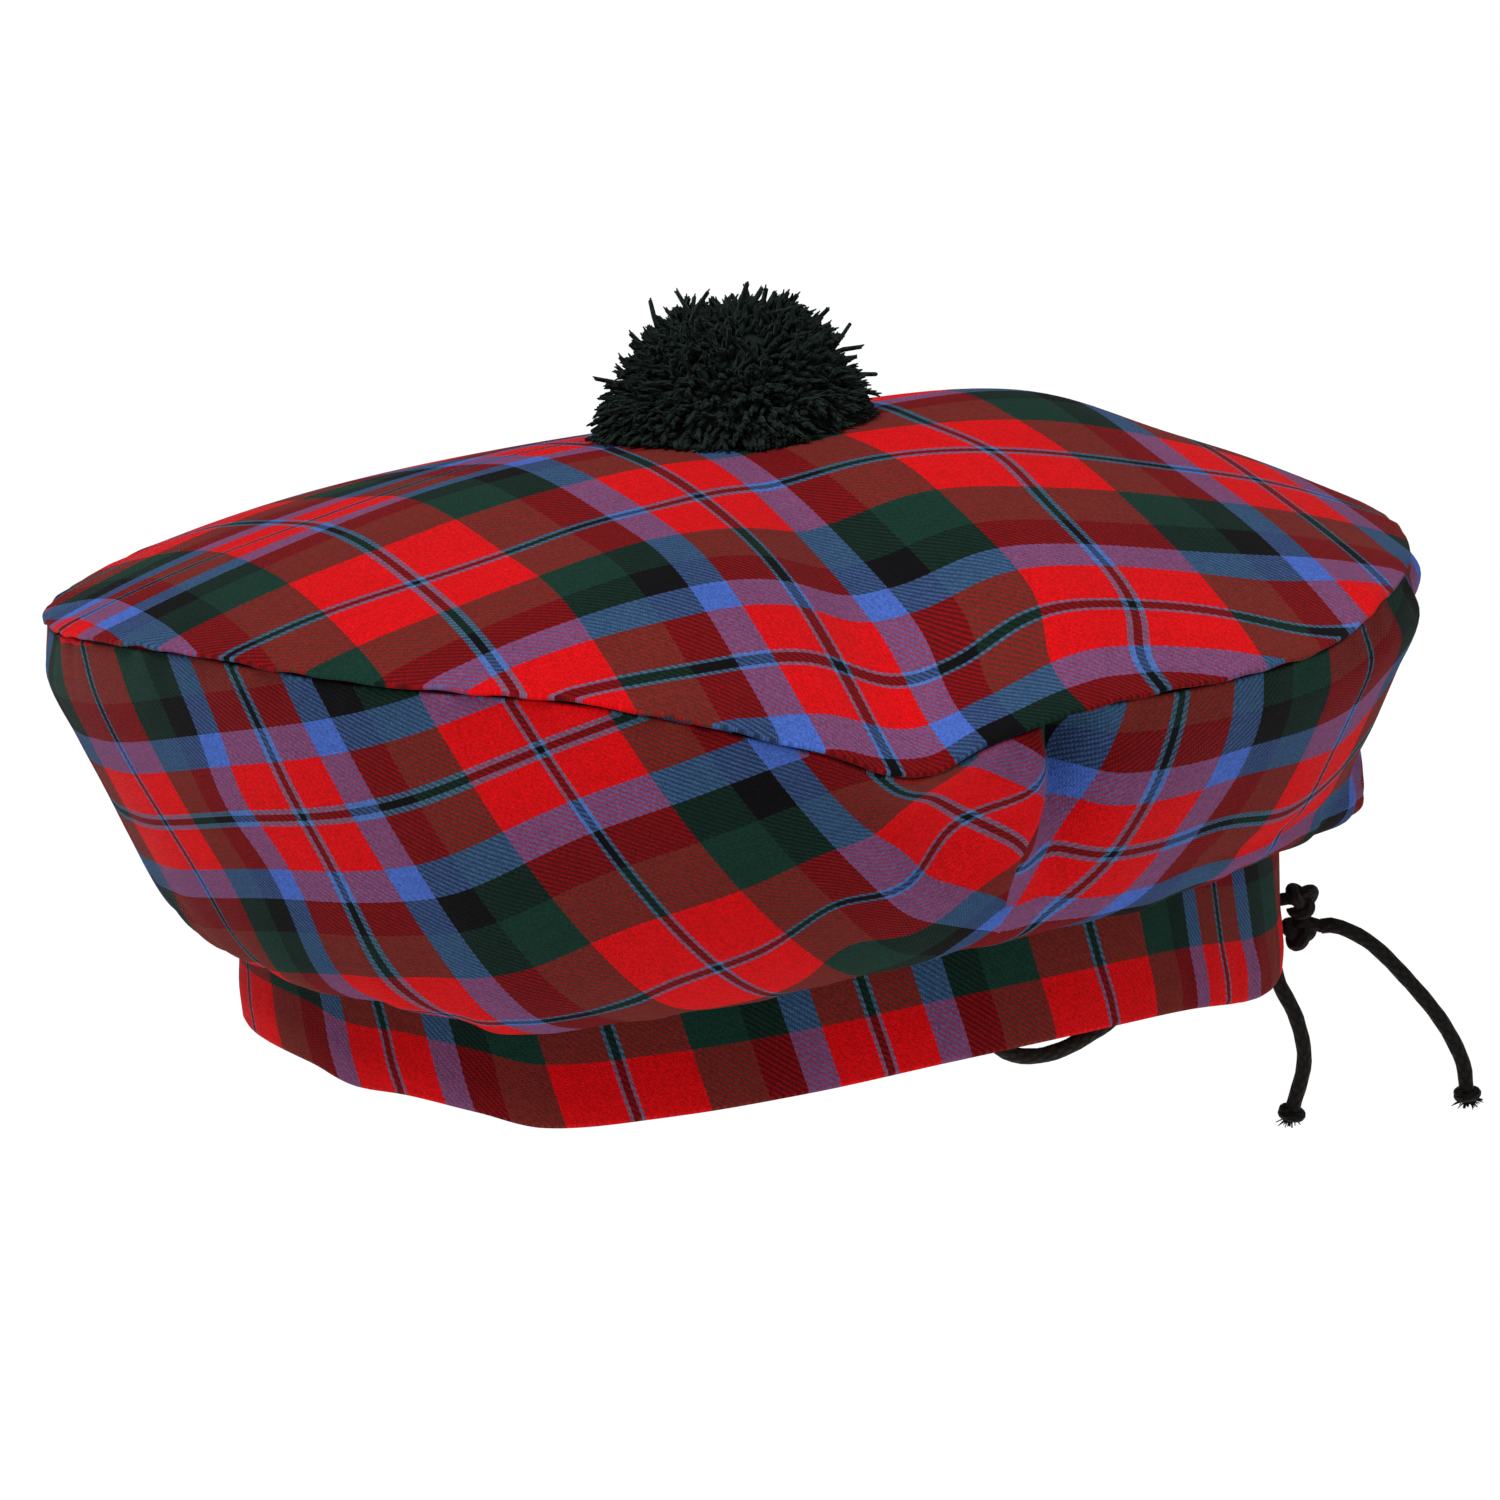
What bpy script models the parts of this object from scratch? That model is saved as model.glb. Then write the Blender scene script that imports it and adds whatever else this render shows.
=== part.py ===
"""Tartan tam o' shanter with a wool pompom and a black drawstring.

Run it in Blender: blender --background --python part.py
Metres, +Z up. The origin is the middle of the head opening, in the plane that
the lowest point of the headband's hem touches. +X points to the back of the
hat, where the drawstring is tied, and -X to the front.

The crown is two cloth panels sewn along the rim. The top panel lies like a
shallow dome. The under panel rounds inward from the rim, droops over the
headband and is sewn to the headband's top edge.
"""
import math
import random
from collections import namedtuple

import bmesh
import bpy
from mathutils import Vector

# Headband
BAND_LENGTH = 0.2030        # front to back, outside
BAND_WIDTH = 0.162          # side to side, outside
BAND_HEIGHT = 0.031         # hem to top edge
BAND_WALL = 0.0024          # cloth folded double
HEM_LIFT = 0.0095           # highest rise of the hem above its lowest point

# Crown
CROWN_LENGTH = 0.268        # front to back at the rim
CROWN_WIDTH = 0.264         # side to side at the rim
CROWN_FORWARD = 0.0046      # crown's middle ahead of the headband's
RIM_HEIGHT = 0.0878         # rim seam above the origin, on average
CROWN_RISE = 0.0272         # middle of the crown above the rim
CLOTH = 0.0016              # wall of each crown panel
DROOP = 0.0205              # under panel's lowest fold above the hem
FOLD_RADIUS = 0.0026        # roundness of that fold
SEAM_LIP = 0.0008           # top panel's edge past the under panel

# Pompom
POM_WIDTH = 0.056
POM_HEIGHT = 0.027
POM_BACK = 0.0025           # its middle behind the crown's middle
LOCK_LENGTH = 0.0035
POM_SIDES = 18

# Drawstring
CORD = 0.003                # diameter
KNOT_ANGLE = -9.5           # where it comes out, from the middle of the back
KNOT_LUMP = 0.0072          # width of each lump of the knot
KNOT_HEIGHT = 0.0128        # middle of the upper lump above the origin
END_KNOT = 0.0058           # width of the knot on each free end
END_KNOT_HEIGHT = 0.0036

GAP = 0.0003                # between pieces that touch
CROWN_SIDES = 84
BAND_SIDES = 72

# Height of the hem round the headband, as a share of HEM_LIFT. Angles run
# from the back (0) over the far side (90) and the front (180) to the near
# side (270).
Hem = namedtuple("Hem", "angle lift")
HEM = (
    Hem(0, 0.15), Hem(25, 0.45), Hem(60, 0.65), Hem(95, 0.50),
    Hem(130, 0.25), Hem(165, 0.40), Hem(190, 0.62), Hem(202, 0.60),
    Hem(210, 0.38), Hem(219, 0.39), Hem(228, 0.22), Hem(236, 0.00),
    Hem(250, 0.27), Hem(265, 0.62), Hem(280, 0.92),
    Hem(296, 1.00), Hem(312, 0.84), Hem(330, 0.30), Hem(345, 0.12),
)

# The rim seam: its reach as a share of the crown's half size and its height
# as a share of RIM_HEIGHT. Fullness swells the under panel below it, as a
# share of the crown's half length, and roll swells it right below the seam,
# where the seam lies inside the crown's widest line. Droop is the height of the lowest
# fold above the hem as a share of DROOP.
Rim = namedtuple("Rim", "angle reach height fullness roll droop")
RIM = (
    Rim(0, 0.970, 0.990, 0.026, 0.048, 1.25),
    Rim(22, 0.975, 0.955, 0.010, 0.035, 1.10),
    Rim(42, 0.985, 0.985, 0.010, 0.015, 1.00),
    Rim(62, 0.990, 0.975, 0.015, 0.005, 1.00),
    Rim(95, 0.990, 0.930, 0.020, 0.005, 1.00),
    Rim(130, 0.990, 0.915, 0.015, 0.005, 1.00),
    Rim(160, 0.985, 0.940, 0.005, 0.005, 0.95),
    Rim(180, 0.980, 0.980, 0.005, 0.010, 0.85),
    Rim(192, 0.990, 1.020, 0.005, 0.005, 0.85),
    Rim(212, 1.000, 1.080, 0.015, 0.000, 0.90),
    Rim(232, 1.000, 1.078, 0.020, 0.000, 0.90),
    Rim(246, 1.000, 1.070, 0.020, 0.000, 0.95),
    Rim(256, 1.000, 1.003, 0.015, 0.000, 0.98),
    Rim(265, 1.000, 0.949, 0.010, 0.000, 1.02),
    Rim(272, 1.000, 0.885, 0.010, 0.000, 1.05),
    Rim(279, 0.995, 0.942, 0.005, 0.000, 1.07),
    Rim(289, 0.990, 0.976, 0.010, 0.000, 1.08),
    Rim(301, 0.990, 0.970, 0.015, 0.005, 1.12),
    Rim(313, 0.990, 0.965, 0.015, 0.015, 1.18),
    Rim(326, 0.975, 0.995, 0.015, 0.035, 1.30),
    Rim(342, 0.965, 1.000, 0.028, 0.048, 1.38),
)

# The under panel from its lowest fold out to the rim: out and up are shares
# of that way, and swell and roll are how much of each a section takes.
Section = namedtuple("Section", "out up swell roll")
UNDER_SECTIONS = (
    Section(0.10, 0.020, 0.30, 0.00),
    Section(0.24, 0.075, 0.75, 0.00),
    Section(0.38, 0.175, 1.00, 0.00),
    Section(0.52, 0.315, 0.95, 0.05),
    Section(0.66, 0.480, 0.70, 0.20),
    Section(0.79, 0.655, 0.45, 0.55),
    Section(0.91, 0.850, 0.20, 1.00),
    Section(1.00, 1.000, 0.00, 0.00),
)

# Folds of the under panel: the angle where each meets the rim, how far it
# leans round by the time it reaches the headband, its depth inward as a share
# of the crown's rise (minus stands out), its width in degrees, and where it
# is deepest between the headband (0) and the rim (1).
Fold = namedtuple("Fold", "angle lean depth width deepest")
FOLDS = (
    Fold(272, 16, 0.26, 5.0, 0.75),
    Fold(281, 4, -0.20, 3.6, 0.80),
    Fold(286, 0, 0.24, 3.2, 0.70),
    Fold(306, -4, 0.10, 7.0, 0.45),
    Fold(254, 6, -0.10, 9.0, 0.50),
    Fold(228, 3, 0.08, 8.0, 0.35),
    Fold(203, -2, -0.07, 9.0, 0.50),
    Fold(345, 0, 0.20, 6.0, 0.70),
    Fold(20, 0, 0.16, 8.0, 0.60),
    Fold(52, 3, -0.10, 8.0, 0.50),
    Fold(84, -3, 0.14, 8.0, 0.60),
    Fold(118, 2, 0.12, 9.0, 0.50),
    Fold(150, -2, 0.14, 8.0, 0.60),
)

# Swells and dents of the top panel: where each lies, as shares of the crown's
# half length (to the back) and half width (to the far side), its height as a
# share of the crown's rise, and its spread and slant. Long is the spread
# along the slant, wide is the spread across it, in shares of the half length.
Dent = namedtuple("Dent", "back side height slant long wide")
DENTS = (
    Dent(0.52, 0.14, 0.21, 20, 0.30, 0.26),
    Dent(0.10, -0.62, -0.20, 100, 0.42, 0.12),
    Dent(-0.30, -0.70, 0.12, 20, 0.30, 0.18),
    Dent(0.74, 0.34, -0.10, 75, 0.36, 0.12),
    Dent(-0.20, 0.62, -0.20, 10, 0.90, 0.36),
    Dent(-0.55, 0.10, -0.10, 60, 0.40, 0.22),
)

# Route points of the cords: X, Y and Z in millimetres
LONG_TAIL = (
    (108.0, -15.2, 7.4), (111.2, -16.2, 7.3), (117.8, -16.4, 3.2),
    (124.9, -16.4, -4.6), (131.9, -16.2, -13.9), (136.2, -16.0, -22.6),
    (137.1, -15.8, -28.6),
)
SHORT_TAIL = (
    (97.4, -19.0, 0.6), (98.1, -19.6, -2.4), (101.2, -20.2, -9.4),
    (102.9, -19.2, -18.4), (101.0, -17.2, -28.4),
)
HEM_LOOP = (
    (21.5, -74.6, 17.0), (24.8, -74.2, 11.6), (29.7, -73.2, 6.6),
    (35.4, -71.6, 4.9), (41.0, -69.7, 5.1), (46.4, -67.3, 6.4),
    (51.9, -64.7, 8.3), (56.4, -62.2, 11.4), (59.6, -60.0, 17.0),
)


def clear_scene():
    for item in list(bpy.data.objects):
        bpy.data.objects.remove(item, do_unlink=True)


def material(name, colour, roughness):
    found = bpy.data.materials.get(name)
    if found:
        return found
    made = bpy.data.materials.new(name)
    made.use_nodes = True
    shader = made.node_tree.nodes["Principled BSDF"]
    shader.inputs["Base Color"].default_value = (*colour, 1)
    shader.inputs["Roughness"].default_value = roughness
    made.diffuse_color = (*colour, 1)
    return made


def around(rows, column, angle):
    """A table column read at any angle, smoothly, all the way round."""
    angle %= 360
    count = len(rows)
    after = next((i for i, row in enumerate(rows) if row.angle > angle), 0)
    index = [(after + step) % count for step in (-2, -1, 0, 1)]
    turn = [(rows[i].angle - angle + 180) % 360 - 180 for i in index]
    value = [getattr(rows[i], column) for i in index]
    slope_in = (value[2] - value[0]) / (turn[2] - turn[0])
    slope_out = (value[3] - value[1]) / (turn[3] - turn[1])
    span = turn[2] - turn[1]
    t = -turn[1] / span
    return ((1 + 2 * t) * (1 - t) ** 2 * value[1]
            + t * (1 - t) ** 2 * span * slope_in
            + t * t * (3 - 2 * t) * value[2]
            - t * t * (1 - t) * span * slope_out)


def turned(angle, other):
    """Signed way in degrees from one angle to another."""
    return (angle - other + 180) % 360 - 180


def bell(distance, width):
    return math.exp(-(distance / width) ** 2)


def hem_height(angle):
    return HEM_LIFT * around(HEM, "lift", angle)


def band_point(angle, outward, height):
    """A point on the headband, moved outward from its outer face."""
    turn = math.radians(angle)
    half_length = BAND_LENGTH / 2 + outward
    half_width = BAND_WIDTH / 2 + outward
    return Vector((half_length * math.cos(turn), half_width * math.sin(turn),
                   hem_height(angle) + height))


def rim_height(angle):
    return RIM_HEIGHT * around(RIM, "height", angle)


def rim_point(angle, inward=0.0):
    """A point on the rim seam, drawn inward by a length."""
    turn = math.radians(angle)
    reach = around(RIM, "reach", angle)
    half_length = CROWN_LENGTH / 2 * reach - inward
    half_width = CROWN_WIDTH / 2 * reach - inward
    return Vector((half_length * math.cos(turn) - CROWN_FORWARD,
                   half_width * math.sin(turn), rim_height(angle)))


def top_height(out, angle):
    """Height of the top panel, a share of the way from middle to rim."""
    mean = RIM_HEIGHT * sum(row.height for row in RIM) / len(RIM)
    edge = mean + (rim_height(angle) - mean) * out ** 2.4
    height = edge + CROWN_RISE * (1 - out ** 2.3)
    turn = math.radians(angle)
    back = out * math.cos(turn)
    side = out * math.sin(turn)
    for dent in DENTS:
        slant = math.radians(dent.slant)
        along = ((back - dent.back) * math.cos(slant)
                 + (side - dent.side) * math.sin(slant))
        across = ((side - dent.side) * math.cos(slant)
                  - (back - dent.back) * math.sin(slant))
        amount = bell(along, dent.long) * bell(across, dent.wide)
        height += CROWN_RISE * dent.height * amount * (1 - out ** 6)
    return height


def top_point(out, angle):
    edge = rim_point(angle, -SEAM_LIP)
    return Vector((-CROWN_FORWARD + (edge.x + CROWN_FORWARD) * out,
                   edge.y * out, top_height(out, angle)))


def fold_depth(share, angle):
    """How far the under panel's folds draw it inward."""
    depth = 0.0
    for fold in FOLDS:
        middle = fold.angle + fold.lean * (1 - share)
        strength = bell(share - fold.deepest, 0.42) * min(1, (1 - share) * 7)
        strength *= min(1, share * 5)
        depth += fold.depth * strength * bell(turned(angle, middle),
                                              fold.width)
    return CROWN_RISE * depth


def under_points(angle):
    """The under panel's outer face from the headband's top to the rim."""
    seam = BAND_HEIGHT + GAP
    droop = DROOP * around(RIM, "droop", angle)
    face = 2 * GAP
    turn_in = FOLD_RADIUS * 0.7
    points = [
        band_point(angle, -BAND_WALL, seam),
        band_point(angle, face, seam),
        band_point(angle, face, droop + FOLD_RADIUS),
        band_point(angle, face + FOLD_RADIUS - turn_in,
                   droop + FOLD_RADIUS - turn_in),
        band_point(angle, face + FOLD_RADIUS, droop),
    ]
    start = band_point(angle, face + 1.9 * FOLD_RADIUS, droop + 0.0004)
    end = rim_point(angle)
    end.z -= CLOTH + 2 * GAP
    outward = Vector((math.cos(math.radians(angle)),
                      math.sin(math.radians(angle)), 0))
    swell = CROWN_LENGTH / 2 * around(RIM, "fullness", angle)
    roll = CROWN_LENGTH / 2 * around(RIM, "roll", angle)
    for row in (Section(0, 0, 0, 0),) + UNDER_SECTIONS:
        share = (row.out + row.up) / 2
        point = start.lerp(end, row.out)
        point.z = start.z + (end.z - start.z) * row.up
        point += outward * (swell * row.swell + roll * row.roll
                            - fold_depth(share, angle))
        points.append(point)
    return points


def cloth_from_rings(name, rings, wall, look, closed_top=False):
    """A sheet through rings of points, given a wall on its inner side."""
    bm = bmesh.new()
    rows = [[bm.verts.new(point) for point in ring] for ring in rings]
    sides = len(rows[0])
    for low, high in zip(rows, rows[1:]):
        for i in range(sides):
            j = (i + 1) % sides
            bm.faces.new((low[i], low[j], high[j], high[i]))
    if closed_top:
        middle = bm.verts.new(closed_top)
        for i in range(sides):
            bm.faces.new((rows[-1][i], rows[-1][(i + 1) % sides], middle))
    sheet = new_object(name, bm, look)
    shell = sheet.modifiers.new("Wall", "SOLIDIFY")
    shell.thickness = wall
    shell.offset = -1
    return sheet


def new_object(name, bm, look):
    mesh = bpy.data.meshes.new(name)
    bm.to_mesh(mesh)
    bm.free()
    mesh.shade_smooth()
    mesh.set_sharp_from_angle(angle=math.radians(50))
    mesh.materials.append(look)
    item = bpy.data.objects.new(name, mesh)
    bpy.context.scene.collection.objects.link(item)
    return item


def angles(sides):
    return [360 * i / sides for i in range(sides)]


def headband(look):
    heights = (0.0, BAND_HEIGHT / 2, BAND_HEIGHT)
    rings = [[band_point(a, 0, h) for a in angles(BAND_SIDES)]
             for h in heights]
    return cloth_from_rings("headband", rings, BAND_WALL, look)


def crown_under(look):
    columns = [under_points(a) for a in angles(CROWN_SIDES)]
    return cloth_from_rings("crown_under", list(zip(*columns)), CLOTH, look)


def crown_top(look):
    rings = [[top_point(out, a) for a in angles(CROWN_SIDES)]
             for out in (1, 0.95, 0.87, 0.76, 0.63, 0.49, 0.34, 0.18)]
    return cloth_from_rings("crown_top", rings, CLOTH, look, top_point(0, 0))


def surface_below(x, y):
    """Height of the top panel under a point near the crown's middle."""
    back = (x + CROWN_FORWARD) / (CROWN_LENGTH / 2)
    side = y / (CROWN_WIDTH / 2)
    return top_height(math.hypot(back, side),
                      math.degrees(math.atan2(side, back)))


def pompom(look):
    """A dome of wool whose locks stand out from a core on the crown."""
    core = POM_WIDTH / 2 - LOCK_LENGTH
    centre = POM_BACK - CROWN_FORWARD
    base = max(surface_below(core * math.cos(a) + centre,
                             core * math.sin(a)) for a in range(7))
    middle = base + core * 0.30
    tall = POM_HEIGHT - core * 0.30 - LOCK_LENGTH
    bm = bmesh.new()
    bmesh.ops.create_uvsphere(bm, u_segments=POM_SIDES, v_segments=10,
                              radius=core)
    for vert in bm.verts:
        up = vert.co.z / core
        vert.co.x += centre
        below = surface_below(vert.co.x, vert.co.y) + 2 * GAP
        vert.co.z = max(middle + up * (tall if up > 0 else core * 0.6),
                        below + 0.0002)
    bm.normal_update()
    locks = [f for f in bm.faces if f.normal.z > -0.35]
    random.seed(4)
    for face in locks:
        bmesh.ops.inset_individual(
            bm, faces=[face], thickness=0.0009,
            depth=LOCK_LENGTH * random.uniform(0.75, 1.0))
    return new_object("pompom", bm, look)


def lump(name, places, width, height, look):
    """Round lumps of wound cord joined into one body."""
    made = []
    for index, place in enumerate(places):
        bm = bmesh.new()
        bmesh.ops.create_icosphere(bm, subdivisions=2, radius=0.5)
        for vert in bm.verts:
            groove = 1 + 0.07 * math.cos(3 * math.atan2(vert.co.y, vert.co.z)
                                         + 5 * vert.co.x)
            vert.co.x *= width * groove
            vert.co.y *= width * groove
            vert.co.z *= height * groove
            vert.co += Vector(place)
        made.append(new_object(name if index == 0 else name + "_cutter",
                               bm, look))
    for other in made[1:]:
        other.hide_render = True
        other.display_type = "WIRE"
        union = made[0].modifiers.new("Join", "BOOLEAN")
        union.operation = "UNION"
        union.object = other
    return made[0]


def smooth_route(points, step):
    """Points a step apart on a smooth curve through the route points."""
    route = [Vector(p) * 0.001 for p in points]
    route = [route[0] * 2 - route[1]] + route + [route[-1] * 2 - route[-2]]
    fine = []
    for p0, p1, p2, p3 in zip(route, route[1:], route[2:], route[3:]):
        for i in range(24):
            t = i / 24
            fine.append(0.5 * (2 * p1 + (p2 - p0) * t
                               + (2 * p0 - 5 * p1 + 4 * p2 - p3) * t * t
                               + (3 * p1 - p0 - 3 * p2 + p3) * t ** 3))
    fine.append(route[-2])
    length = sum((b - a).length for a, b in zip(fine, fine[1:]))
    count = max(2, round(length / step))
    out = [fine[0]]
    done = 0.0
    for a, b in zip(fine, fine[1:]):
        done += (b - a).length
        if done >= length * len(out) / count and len(out) < count:
            out.append(b)
    out.append(fine[-1])
    return out


def cord(name, points, look):
    curve = bpy.data.curves.new(name, "CURVE")
    curve.dimensions = "3D"
    curve.bevel_depth = CORD / 2
    curve.bevel_resolution = 2
    curve.use_fill_caps = True
    spline = curve.splines.new("POLY")
    route = smooth_route(points, 2.2 * CORD)
    spline.points.add(len(route) - 1)
    for slot, place in zip(spline.points, route):
        slot.co = (*place, 1)
    curve.materials.append(look)
    item = bpy.data.objects.new(name, curve)
    bpy.context.scene.collection.objects.link(item)
    return item


def drawstring(look):
    knot = band_point(KNOT_ANGLE, KNOT_LUMP * 0.47 + GAP, 0)
    lower = Vector((knot.x, knot.y, KNOT_HEIGHT - KNOT_LUMP * 0.9))
    upper = Vector((knot.x + KNOT_LUMP * 0.1, knot.y, KNOT_HEIGHT))
    lump("drawstring_knot", (upper, lower), KNOT_LUMP, KNOT_LUMP, look)
    cord("cord_tail_long", LONG_TAIL, look)
    cord("cord_tail_short", SHORT_TAIL, look)
    cord("cord_hem_loop", HEM_LOOP, look)
    for name, tail in (("end_knot_long", LONG_TAIL),
                       ("end_knot_short", SHORT_TAIL)):
        end = Vector(tail[-1]) * 0.001
        way = (end - Vector(tail[-2]) * 0.001).normalized()
        place = end + way * (END_KNOT_HEIGHT / 2 + 2 * GAP)
        lump(name, (place,), END_KNOT, END_KNOT_HEIGHT, look)


clear_scene()
tartan_top = material("tartan top", (0.55, 0.03, 0.03), 0.85)
tartan_under = material("tartan under", (0.50, 0.03, 0.03), 0.85)
tartan_band = material("tartan band", (0.45, 0.03, 0.03), 0.85)
wool = material("dark green wool", (0.006, 0.016, 0.013), 0.9)
black_cord = material("black cord", (0.012, 0.010, 0.010), 0.8)
headband(tartan_band)
crown_under(tartan_under)
crown_top(tartan_top)
pompom(wool)
drawstring(black_cord)
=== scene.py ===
"""Tartan tam o' shanter: cloth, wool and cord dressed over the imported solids.

Metres, +Z up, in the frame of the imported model. +X points to the back of the
hat, -Y is the near side, and the origin is the middle of the head opening.
Angles run from the back (0) over the far side (90) and the front (180) to the
near side (270).
"""
import random
from collections import namedtuple
from math import (atan2, cos, degrees, exp, hypot, pi, radians, sin,
                  sqrt)

import bpy
from mathutils import Matrix, Vector, noise


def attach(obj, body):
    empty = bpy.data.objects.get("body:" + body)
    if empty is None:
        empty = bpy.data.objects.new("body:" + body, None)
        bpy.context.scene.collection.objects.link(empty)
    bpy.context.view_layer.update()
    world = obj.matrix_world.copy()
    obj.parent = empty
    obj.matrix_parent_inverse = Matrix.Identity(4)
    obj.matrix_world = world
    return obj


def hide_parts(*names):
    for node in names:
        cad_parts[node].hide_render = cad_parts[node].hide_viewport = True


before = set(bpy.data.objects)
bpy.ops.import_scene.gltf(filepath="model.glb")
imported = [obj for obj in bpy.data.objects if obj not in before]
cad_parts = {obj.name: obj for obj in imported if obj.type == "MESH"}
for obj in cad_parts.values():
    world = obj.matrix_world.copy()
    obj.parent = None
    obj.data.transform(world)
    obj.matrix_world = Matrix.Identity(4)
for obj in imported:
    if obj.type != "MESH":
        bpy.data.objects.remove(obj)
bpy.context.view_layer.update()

# ---- shape
# Sizes in metres, as in the part's source. The rim's line and the cloth's
# edges are a little finer here than in the solids.

# Half the length and the width of the headband and of the crown
BAND_X, BAND_Y = 0.1015, 0.081
CROWN_X, CROWN_Y = 0.134, 0.132
BAND_HEIGHT = 0.031
BAND_WALL = 0.0024
HEM_LIFT = 0.0095
FORWARD = 0.0046            # how far the crown sits toward the front
RIM_HEIGHT = 0.0878
CROWN_RISE = 0.0272
CLOTH = 0.0016
DROOP = 0.0205
FOLD_RADIUS = 0.0026
SEAM_LIP = 0.0008
CORD = 0.003
KNOT_ANGLE = -9.5
KNOT_LUMP = 0.0072
KNOT_HEIGHT = 0.0128
END_KNOT = 0.0058
GAP = 0.0003
SEAM_DIP = 0.0006           # the rim seam's groove
EDGE_WALL = 0.0009          # the cloth's wall where it is pressed flat


def table(columns, *rows):
    """Rows of numbers, each number with its column's name."""
    row_kind = namedtuple("Row", columns)
    return tuple(row_kind(*row) for row in rows)


# Height of the hem, as a share of HEM_LIFT
HEM = table(
    "angle lift",
    (0, 0.15), (25, 0.45), (60, 0.65), (95, 0.5),
    (130, 0.25), (165, 0.4), (190, 0.62), (202, 0.6),
    (210, 0.38), (219, 0.39), (228, 0.22), (236, 0),
    (250, 0.27), (265, 0.62), (280, 0.92),
    (296, 1), (312, 0.84), (330, 0.3), (345, 0.12),
)

# The rim seam, and how full the under panel is below it
RIM = table(
    "angle reach height fullness roll droop",
    (0, 0.97, 0.975, 0.026, 0.052, 1.4), (22, 0.975, 0.955, 0.01, 0.035, 1.1),
    (42, 0.985, 0.985, 0.01, 0.015, 1), (62, 0.99, 0.975, 0.015, 0.005, 1),
    (95, 0.99, 0.922, 0.02, 0.005, 1), (130, 0.99, 0.906, 0.015, 0.005, 1),
    (160, 0.976, 0.918, 0.008, 0.01, 0.95), (180, 0.96, 0.98, 0, 0.028, 0.85),
    (192, 0.982, 1.035, -0.006, 0.012, 0.85), (212, 1, 1.095, 0.008, 0, 0.9),
    (232, 1, 1.085, 0.02, 0, 0.9), (246, 1, 1.07, 0.02, 0, 0.95),
    (256, 1, 1.02, 0.015, 0, 0.98), (265, 1, 0.949, 0.01, 0, 1.02),
    (272, 1, 0.885, 0.01, 0, 1.05), (279, 0.995, 0.942, 0.005, 0, 1.07),
    (289, 0.99, 0.976, 0.01, 0, 1.08), (301, 0.99, 0.97, 0.015, 0.005, 1.12),
    (313, 0.99, 0.97, 0.015, 0.015, 1.26),
    (326, 0.975, 0.995, 0.015, 0.031, 1.44),
    (342, 0.965, 0.988, 0.024, 0.038, 1.54),
)

# The under panel from its lowest fold out to the rim
SECTIONS = table(
    "out up swell roll",
    (0, 0, 0, 0), (0.1, 0.02, 0.3, 0),
    (0.24, 0.075, 0.75, 0), (0.38, 0.175, 1, 0),
    (0.52, 0.315, 0.95, 0.05), (0.66, 0.48, 0.7, 0.2),
    (0.79, 0.655, 0.45, 0.55), (0.91, 0.85, 0.2, 1),
    (1, 1, 0, 0),
)

# Folds of the under panel
FOLDS = table(
    "angle lean depth width deepest",
    (272, 16, 0.26, 5, 0.75), (281, 4, -0.2, 3.6, 0.8),
    (286, 0, 0.24, 3.2, 0.7), (306, -4, 0.1, 7, 0.45),
    (254, 6, -0.1, 9, 0.5), (228, 3, 0.08, 8, 0.35),
    (203, -2, -0.07, 9, 0.5), (345, 0, 0.2, 6, 0.7),
    (20, 0, 0.16, 8, 0.6), (52, 3, -0.1, 8, 0.5),
    (84, -3, 0.14, 8, 0.6), (118, 2, 0.12, 9, 0.5),
    (150, -2, 0.14, 8, 0.6),
)

# Swells and dents of the top panel, the last one where the pompom is tied
DENTS = table(
    "back side height slant long wide",
    (0.52, 0.14, 0.21, 20, 0.3, 0.26),
    (0.1, -0.62, -0.2, 100, 0.42, 0.12),
    (-0.3, -0.7, 0.12, 20, 0.3, 0.18),
    (0.74, 0.34, -0.1, 75, 0.36, 0.12),
    (-0.2, 0.62, -0.2, 10, 0.9, 0.36),
    (-0.55, 0.1, -0.1, 60, 0.4, 0.22),
    (0.02, 0.26, -0.13, 0, 0.44, 0.32),
)

# Route points of the cords
LONG_TAIL = (
    (0.108, -0.0152, 0.0074), (0.1112, -0.0162, 0.0073),
    (0.1178, -0.0164, 0.0032), (0.1249, -0.0164, -0.0046),
    (0.1319, -0.0162, -0.0139), (0.1362, -0.016, -0.0226),
    (0.1371, -0.0158, -0.0286),
)
SHORT_TAIL = (
    (0.0974, -0.019, 0.0006), (0.0981, -0.0196, -0.0024),
    (0.1012, -0.0202, -0.0094), (0.1029, -0.0192, -0.0184),
    (0.101, -0.0172, -0.0284),
)
HEM_LOOP = (
    (0.0215, -0.0746, 0.017), (0.0248, -0.0742, 0.0116),
    (0.0297, -0.0732, 0.0066), (0.0354, -0.0716, 0.0049),
    (0.041, -0.0697, 0.0051), (0.0464, -0.0673, 0.0064),
    (0.0519, -0.0647, 0.0083), (0.0564, -0.0622, 0.0114),
    (0.0596, -0.06, 0.017),
)

# Mesh fineness
COLUMNS = 480
TOP_ROWS = 58
BAND_ROWS = 20
POM_YARNS = 2600
ROUTE_STEPS = 24            # per stretch of a cord's route

DOME_CURVE = 2.3            # how flat the top's middle is
RIM_SPREAD = 2.4            # how far in the rim's rise and fall reach
FOLD_REACH = 0.42           # share of the under panel a fold runs over


def curve(t, span, start, slope_in, end, slope_out):
    """A smooth curve's value at the share t of a stretch of length span."""
    return (start * ((1 + 2 * t) * (1 - t) ** 2)
            + slope_in * (t * (1 - t) ** 2 * span)
            + end * (t * t * (3 - 2 * t))
            - slope_out * (t * t * (1 - t) * span))


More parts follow.
